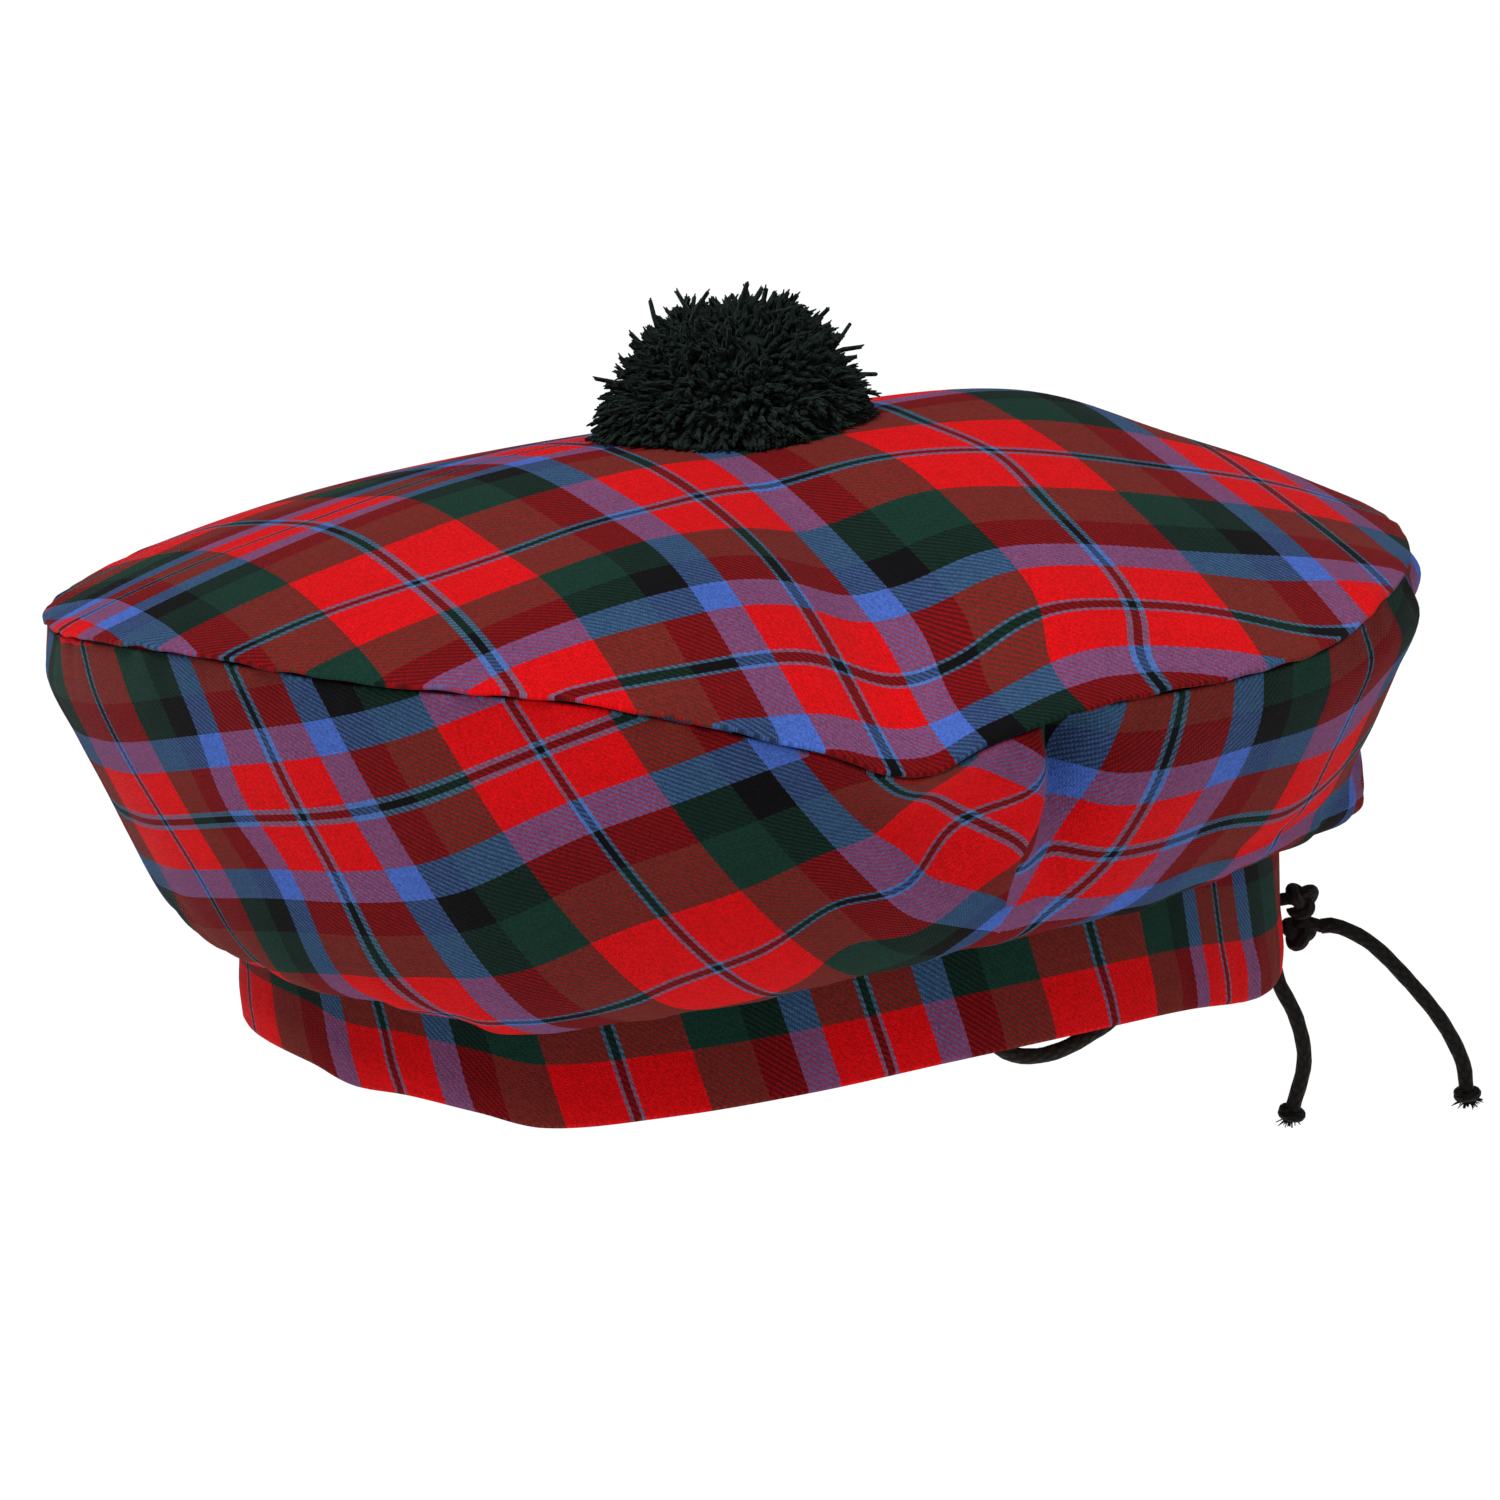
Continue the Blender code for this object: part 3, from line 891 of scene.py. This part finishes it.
def cords(look):
    """All pieces of the drawstring by name, and the route and length of
    each cord."""
    pieces, runs = {}, {}
    for index, (name, route, count) in enumerate((
            ("cord_long", LONG_TAIL, 26), ("cord_short", SHORT_TAIL, 20),
            ("cord_loop", HEM_LOOP, 28))):
        line, length = cord_route(route, count)
        skin = Skin()
        radii = [CORD / 2 * (1 + 0.03 * sin(i * 1.9 + index))
                 for i in range(len(line))]
        skin.tube(line, radii, 14, index)
        pieces[name] = skin.make(name, look)
        runs[name] = line, length

    random.seed(5)
    for name, cord_name in (("end_long", "cord_long"),
                            ("end_short", "cord_short")):
        pieces[name] = end_knot(runs[cord_name][0]).make(name, look)

    # The wound knot: two lumps, the neck between them, the way to the long
    # tail, and the way back into the headband
    spot = band_point(KNOT_ANGLE, KNOT_LUMP * 0.47 + GAP, 0)
    upper = Vector((spot.x + KNOT_LUMP * 0.1, spot.y, KNOT_HEIGHT))
    lower = Vector((spot.x, spot.y, KNOT_HEIGHT - KNOT_LUMP * 0.9))
    tail, next_spot = (Vector(p) for p in LONG_TAIL[:2])
    routes = (
        knotted(upper, Vector((0.3, -0.9, 0.25)), 0.5,
                KNOT_LUMP * 0.56 - KNOT_STRAND),
        knotted(lower, Vector((-0.2, -0.85, 0.5)), 2.3,
                KNOT_LUMP * 0.54 - KNOT_STRAND),
        [upper, upper.lerp(lower, 0.5) + Vector((0.0006, 0, 0)), lower],
        [lower + Vector((0.0008, 0, 0.0016)),
         lower.lerp(tail, 0.5) + Vector((0.0002, 0, 0.0012)), tail,
         tail.lerp(next_spot, 0.3)],
        [upper, upper + Vector((-0.0025, 0.0004, 0.0004)),
         upper + Vector((-0.0046, 0.0006, 0.0002))],
    )
    skin = Skin()
    for index, route in enumerate(routes):
        skin.tube(route, [KNOT_STRAND] * len(route), 12, 60 + index)
    pieces["knot"] = skin.make("drawstring_knot_wound", look)
    return pieces, runs


# ---- tartan

# The cloth's places on the hat. A column or row of 0 runs along the middle
# of the narrow red pair of stripes, and one of 1 along the wide pair.
TOP_COLUMN_TURN, TOP_ROW_TURN = 10.5, 13.5
TOP_COLUMN, TOP_ROW = -0.027, -0.103
TOP_COLUMN_STEP, TOP_ROW_STEP = 0.06, 0.064
# The front of the top panel, where its rows slip toward the far side
FRONT_SLIP, FRONT_START, FRONT_RUN = 0.015, 0.06, 0.07
# Where the top panel's cloth is drawn aside, in metres
TOP_PULLS = table(
    "back side across along reach",
    (-0.012, -0.108, 0, -0.003, 0.025),
    (0.01, -0.032, 0, -0.006, 0.035),
    (-0.064, -0.068, 0, 0.012, 0.03),
    (0.086, -0.08, 0, 0.005, 0.04),
    (0.009, -0.112, 0, 0.004, 0.02),
    (0.043, -0.029, -0.004, 0, 0.02),
    (0.046, -0.118, 0.008, 0, 0.018),
    (0.02, -0.121, 0.0065, 0, 0.018),
    (-0.026, -0.052, 0, 0.005, 0.018),
    (0.078, -0.028, 0, 0.005, 0.03),
    (0.008, -0.111, 0, 0.0035, 0.015),
    (0.085, -0.096, 0, 0.0045, 0.015),
    (-0.028, -0.114, 0, 0.002, 0.02),
    (0.034, -0.01, 0.002, 0, 0.025),
)


def top_place(angle, out, _column):
    turn = radians(angle)
    x = CROWN_X * out * cos(turn) - FORWARD
    y = CROWN_Y * out * sin(turn)
    a, b = radians(TOP_COLUMN_TURN), radians(TOP_ROW_TURN)
    across = x * cos(a) + y * sin(a)
    along = y * cos(b) - x * sin(b)
    along += FRONT_SLIP * eased((-x - FRONT_START) / FRONT_RUN)
    for pull in TOP_PULLS:
        amount = bell(hypot(x - pull.back, y - pull.side), pull.reach)
        across += pull.across * amount
        along += pull.along * amount
    return ((across - TOP_COLUMN) / TOP_COLUMN_STEP,
            (along - TOP_ROW) / TOP_ROW_STEP)


# The under panel is cut in two halves, each laid out flat as part of a ring
# whose flare is the share of its turn round the hat that it keeps when flat.
HALVES = table(
    "start flare turn column row column_step row_step lean",
    (103.5, 0.5, 190, 0.0635, 0.2311, 0.0535, 0.051, 0.0),
    (282.0, 0.25, 300, -0.0116, 0.4995, 0.058, 0.06, 0.0175),
)
# Where the under panel's cloth is drawn aside: the middle of the place, the
# way in metres, and how wide in degrees and deep in metres the place is
UNDER_TUGS = table(
    "angle far across along wide deep",
    (203, 0.052, -0.017, 0, 12, 0.03),
    (198, 0.035, -0.0035, 0, 8, 0.05),
    (219, 0.07, 0.005, 0, 9, 0.02),
    (233, 0.048, 0, 0.0055, 15, 0.025),
    (246, 0.074, 0, 0.005, 10, 0.016),
    (268, 0.045, 0, -0.0085, 5, 0.018),
    (213, 0.03, 0.0045, 0, 5, 0.012),
    (272, 0.016, -0.003, 0, 4, 0.012),
    (279, 0.034, 0, 0.0045, 4, 0.01),
    (313, 0.042, 0, 0.003, 5, 0.012),
    (322, 0.03, 0, 0.005, 7, 0.016),
    (283, 0.015, 0, -0.004, 2.5, 0.012),
    (305, 0.024, -0.0055, 0, 7, 0.024),
    (318, 0.056, 0, -0.005, 14, 0.018),
)
UNDER_DEPTH = 0.056
# The pleat, where the front half's rows slip
PLEAT_SLIP, PLEAT_AT, PLEAT_WIDE = 0.012, 286, 14
PLEAT_START, PLEAT_RUN = 0.035, 0.02


def under_place(angle, far, column):
    middle = (column + 0.5) * 360 / COLUMNS
    front, back = HALVES
    half = front if front.start < middle < back.start else back
    if half is back and middle < 180:
        angle += 360
    size = CROWN_X / half.flare
    turn = radians(half.flare * (angle - half.turn))
    across = ((size - far) * sin(turn)
              + half.lean * (far / UNDER_DEPTH) ** 2)
    along = (size - far) * cos(turn)
    for tug in UNDER_TUGS:
        amount = bell(angle - tug.angle, tug.wide) * bell(far - tug.far,
                                                          tug.deep)
        across += tug.across * amount
        along += tug.along * amount
    if half is front:
        along -= (PLEAT_SLIP * bell(angle - PLEAT_AT, PLEAT_WIDE)
                  * eased((far - PLEAT_START) / PLEAT_RUN))
        return ((across - half.column) / half.column_step,
                (along - half.row) / half.row_step)
    # The back half's cloth lies a quarter turn round from the front half's
    return (2 + (along - half.row) / half.row_step,
            -2 - (across - half.column) / half.column_step)


BAND_COLUMN, BAND_COLUMN_STEP = 0.43712, 0.047
BAND_ROW, BAND_ROW_STEP = -0.051, 0.0485
BAND_LEAN = 0.28
# The back of the near side, where the headband's columns slip
BAND_SLIP, BAND_SLIP_START, BAND_SLIP_RUN = 0.015, 300, 25


def band_length_to(angle):
    """Length along the headband from the back to an angle."""
    steps = max(1, round(angle / 3))
    run, before = 0.0, Vector((BAND_X, 0))
    for i in range(1, steps + 1):
        turn = radians(angle * i / steps)
        here = Vector((BAND_X * cos(turn),
                       BAND_Y * sin(turn)))
        run += (here - before).length
        before = here
    return run


BAND_RUN = [band_length_to(360 * i / COLUMNS)
            for i in range(COLUMNS + 1)]


def band_place(angle, height, _column):
    run = BAND_RUN[round(angle * COLUMNS / 360)]
    run += BAND_SLIP * eased((angle - BAND_SLIP_START) / BAND_SLIP_RUN)
    return ((run + BAND_LEAN * height - BAND_COLUMN) / BAND_COLUMN_STEP,
            (height - BAND_ROW) / BAND_ROW_STEP)


# ---- panels

ANGLES = [360 * i / COLUMNS for i in range(COLUMNS)]
# Ripples round the hat, for waves(), and how high they are
SEAM_PUCKERS = ((61, 20, 0.5), (83, 140, 0.35), (37, 250, 0.4))
TOP_PUCKER, UNDER_PUCKER = 0.00028, 0.00035
GATHERS = ((29, 0, 0.5), (43, 70, 0.5), (67, 190, 0.3), (17, 300, 0.4))
GATHER = 0.0009
DRAWN_IN = ((73, 40, 0.5), (97, 160, 0.4), (55, 210, 0.35))
DRAW, HEM_ROLL = 0.00035, 0.0004

# Forms of the under panel: the pleat's ridge, laid aside, and its pocket,
# the crease above the low fold, and the lump, notch and sag of the slack at
# the back. Each has a middle and a width round the hat and on the cloth.
RIDGE, POCKET, CREASE, LUMP, NOTCH, SAG = table(
    "angle wide at deep amount",
    (280.2, 2.6, 0.8, 0.24, 0.0034), (285.2, 2.3, 0.007, 0.016, 0.01),
    (320, 16, 0.0435, 0.0028, 0.0016), (343, 13, 0.034, 0.0085, 0.0048),
    (343, 13, 0.048, 0.006, 0.0026), (343, 13, 0.034, 0.008, 0.0015),
)


def formed(form, angle, place):
    return form.amount * (bell(turned(angle, form.angle), form.wide)
                          * bell(place - form.at, form.deep))


def wall(share):
    """The cloth's wall, from a pressed edge (0) to the open cloth (1)."""
    return EDGE_WALL + (CLOTH - EDGE_WALL) * eased(share)


def crown_top(look):
    rings, walls = [], []
    rims = {a: rim_height(a) for a in ANGLES}
    edges = {a: rim_point(a, -SEAM_LIP) for a in ANGLES}
    for r in range(TOP_ROWS):
        out = 1 - (r / TOP_ROWS) ** 1.25
        ring = []
        for a in ANGLES:
            x = (edges[a].x + FORWARD) * out - FORWARD
            z = top_height(out, a, rims[a])
            z += (TOP_PUCKER * waves(a, SEAM_PUCKERS)
                  * bell(1 - out, 0.035))
            z -= 0.0002 * bell(1 - out, 0.008)
            ring.append((Vector((x, edges[a].y * out, z)), a, out))
        rings.append(ring)
        walls.append(wall((1 - out) / 0.06))
    middle = Vector((-FORWARD, 0, top_height(0, 0, rims[0])))
    return walled_cloth("crown_top_cloth", rings, walls, look, top_place,
                        middle)


def crown_under(look):
    steps = (1, 3, 2, 2, 2) + (7,) * (len(SECTIONS) - 1)
    columns = []
    for a in ANGLES:
        line = smooth_through(under_points(a), steps)
        run = [0.0]
        for p, q in zip(line, line[1:]):
            run.append(run[-1] + (q - p).length)
        outward = outward_at(a)
        aside = Vector((-outward.y, outward.x, 0))
        column = []
        for point, done in zip(line, run):
            share = done / run[-1]
            far = run[-1] - done
            slack = eased(share / 0.3)
            rise = GATHER * waves(a, GATHERS) * bell(share - 0.22, 0.16)
            rise += UNDER_PUCKER * waves(a, SEAM_PUCKERS) * bell(far, 0.008)
            rise -= formed(POCKET, a, far) + formed(CREASE, a, point.z)
            rise += slack * (formed(LUMP, a, point.z)
                             - formed(NOTCH, a, point.z))
            point = point + outward * rise + aside * formed(RIDGE, a, share)
            point.z -= slack * formed(SAG, a, point.z)
            column.append((point, a, far))
        columns.append(column)
    rings = [list(ring) for ring in zip(*columns)]
    walls = [wall(ring[0][2] / 0.006) for ring in rings]
    return walled_cloth("crown_under_cloth", rings, walls, look, under_place)


def headband(look):
    rings = []
    for r in range(BAND_ROWS + 1):
        height = BAND_HEIGHT * r / BAND_ROWS
        ring = []
        for a in ANGLES:
            near_back = 0.25 + 0.75 * bell(turned(a, 350), 45)
            out = (DRAW * waves(a, DRAWN_IN) * near_back
                   * bell(height - 0.006, 0.006))
            out += HEM_ROLL * bell(height - 0.005, 0.0045)
            ring.append((band_point(a, out, height), a, height))
        rings.append(ring)
    return walled_cloth("headband_cloth", rings, [BAND_WALL] * len(rings),
                        look, band_place)


# ---- pompom

def crown_surface(x, y):
    """Height of the top panel at a place on it."""
    back = (x + FORWARD) / CROWN_X
    side = y / CROWN_Y
    where = degrees(atan2(side, back))
    return top_height(hypot(back, side), where, rim_height(where))


# The pompom: the middle of its flat underside, its reach, and how far it tips
# up toward the back
POM_MIDDLE = Vector((-0.0006, 0.007, 0.1125))
POM_REACH = Vector((0.0284, 0.024, 0.0238))
POM_TIP = 0.064
POM_UNDER = 1.06            # the yarns start from a little below level
GOLDEN_TURN = 2.399963      # from one yarn to the next, in radians
CLUMP_LEAN, YARN_LEAN, LOOSE_LEAN = 0.34, 0.26, 0.15
STRAYS = 0.022              # share of the yarns that stand out
YARN_THIN, YARN_THICK = 0.00042, 0.00056


def pom_spot(way, reach):
    """A point of the pompom: a share of the way out from its middle."""
    lift = degrees(atan2(way.z, hypot(way.x, way.y)))
    # A little flat low down and full near the top
    shape = 1 - 0.085 * bell(lift - 27, 17) + 0.045 * bell(lift - 66, 13)
    point = way * POM_REACH * (reach * shape)
    point.z += POM_TIP * point.x
    point += POM_MIDDLE
    point.z = max(point.z, crown_surface(point.x, point.y) + 0.0008)
    return point


def scattered(reach):
    return Vector([random.uniform(-reach, reach) for _ in range(3)])


def pompom(look):
    """Cut yarn ends fanned out of a tied middle, as a flat-bottomed dome."""
    random.seed(11)
    noise.seed_set(11)                 # or the yarns would differ each run
    skin = Skin()
    for i in range(POM_YARNS):
        up = 1 - POM_UNDER * (i + 0.5) / POM_YARNS
        turn = i * GOLDEN_TURN
        flat = sqrt(max(0.0, 1 - up * up))
        root = Vector((cos(turn) * flat, sin(turn) * flat, up))
        lean = noise.noise_vector(root * 4) * CLUMP_LEAN
        lean += noise.noise_vector(root * 12 + Vector((7, 3, 1))) * YARN_LEAN
        way = (root + lean * 0.5).normalized()
        end = (root + lean + scattered(LOOSE_LEAN)).normalized()
        end.z = max(end.z, -0.1)
        reach = (0.93 + 0.09 * noise.noise(root * 6.5)
                 + random.uniform(-0.06, 0.05))
        if up > 0.25 and random.random() < STRAYS:
            reach += random.uniform(0.05, 0.2)
        sag = 0.05 * (1 - up)
        route = [pom_spot(root, reach * 0.45), pom_spot(way, reach * 0.74),
                 pom_spot((way * 0.4 + end * 0.6).normalized(), reach * 0.89),
                 pom_spot((end - Vector((0, 0, sag))).normalized(), reach)]
        thick = random.uniform(YARN_THIN, YARN_THICK)
        skin.tube(route, (thick, thick, thick, thick * 0.85), 6, i,
                  random.uniform(0, 0.5))
        way = (route[3] - route[2]).normalized()
        for k in range(2):
            off = scattered(1) * 0.0004
            tip = route[3] + way * random.uniform(0.0002, 0.0007) + off
            skin.tube([route[3] - way * 0.0003 + off * 0.4, tip],
                      (0.0003, 0.00014), 3, i + 0.1, 0.2)
    return skin.make("pompom_yarn", look)


def pom_core(look):
    """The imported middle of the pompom, dark between the yarn ends."""
    skin = Skin()
    rows, sides, run = 12, 30, 0.002
    for r in range(rows + 1):
        lift = radians(-6 + 94 * r / rows)
        for k in range(sides):
            turn = 2 * pi * k / sides
            lump = 0.78 + 0.04 * sin(5 * turn + r) * sin(r * 1.7)
            way = Vector((cos(turn) * cos(lift),
                          sin(turn) * cos(lift), sin(lift)))
            skin.points.append(pom_spot(way, lump))
    for r in range(rows):
        a, b = r * sides, (r + 1) * sides
        low, high = r * run, r * run + run
        for k in range(sides):
            n = (k + 1) % sides
            here, there = k / sides, (k + 1) / sides
            skin.face((a + k, a + n, b + n, b + k),
                      ((here, low), (there, low), (there, high),
                       (here, high)))
    skin.cap(0, sides, -1, (0.5, 0.0))
    skin.cap(rows * sides, sides, 1, (0.5, 0.0))
    return skin.make("pompom_core", look)


# ---- studio

FLOOR_DROP, FLOOR_HALF = 0.3, 14
PALE = ((0.88, 0.88, 0.88, 1), (0.9, 0.9, 0.9, 1))
SKY_LIGHT = 0.29
# Each lamp's degrees aside and up, strength, and softness in degrees
LAMPS = (("key", -52, 60, 3.05, 22), ("fill", 45, 35, 0.35, 60))


def studio():
    floor_look, kit, shader = material("pale floor", 0.8)
    place = kit.add("ShaderNodeTexCoord").outputs["Object"]
    kit.join(kit.mix(kit.noise(place, 1.5), *PALE),
             shader.inputs["Base Color"])
    mesh = bpy.data.meshes.new("floor")
    mesh.from_pydata([(x * FLOOR_HALF, y * FLOOR_HALF, -FLOOR_DROP)
                      for x, y in ((-1, -1), (1, -1), (1, 1), (-1, 1))],
                     [], [(0, 1, 2, 3)])
    mesh.materials.append(floor_look)
    floor = placed("floor", mesh)
    world = bpy.data.worlds.new("studio")
    bpy.context.scene.world = world
    world.use_nodes = True
    back = world.node_tree.nodes["Background"]
    back.inputs[0].default_value = (1, 1, 1, 1)
    back.inputs[1].default_value = SKY_LIGHT
    for name, side, rise, strength, soft in LAMPS:
        lamp = bpy.data.lights.new(name, "SUN")
        lamp.energy = strength
        lamp.angle = radians(soft)
        item = placed(name, lamp)
        turn, up = radians(side), radians(rise)
        toward = Vector((sin(turn) * cos(up),
                         -cos(turn) * cos(up), sin(up)))
        item.rotation_euler = (-toward).to_track_quat("-Z", "Y").to_euler()
    bpy.context.scene.view_settings.view_transform = "Standard"


# ---- making

def dress(piece, node):
    """Put a piece on the body, in place of a solid."""
    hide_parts(node)
    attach(piece, "root")


photo_camera()

cord_look = yarn_finish("black cord", linear(11, 8, 7), linear(36, 28, 23),
                        6.0, 330.0, 1.0, 0.72, 0.0004)
made, runs = cords(cord_look)
for name, node, exit_spot, far_end, extra in (
        ("cord_long", "cord_tail_long", LONG_TAIL[0], "knot", "end_long"),
        ("cord_short", "cord_tail_short", SHORT_TAIL[0], "knot",
         "end_short"),
        ("cord_loop", "cord_hem_loop", HEM_LOOP[0], "object", None)):
    dress(made[name], node)
    if extra:
        dress(made[extra], "end_knot_" + extra[4:])
dress(made["knot"], "drawstring_knot")

top_look, under_look, band_look = (
    tartan_cloth("tartan " + name, threads, 0.4)
    for name, threads in (("top", 168.0), ("under", 156.0), ("band", 132.0)))
wool = yarn_finish("dark green wool", linear(4, 10, 8), linear(19, 41, 32),
                   3.0, 420.0, 0.0, 0.85, 0.0003)

top_panel = crown_top(top_look)
under_panel = crown_under(under_look)
band = headband(band_look)
dress(top_panel, "crown_top")
dress(under_panel, "crown_under")
dress(band, "headband")

for piece in (pompom(wool), pom_core(wool)):
    dress(piece, "pompom")

studio()
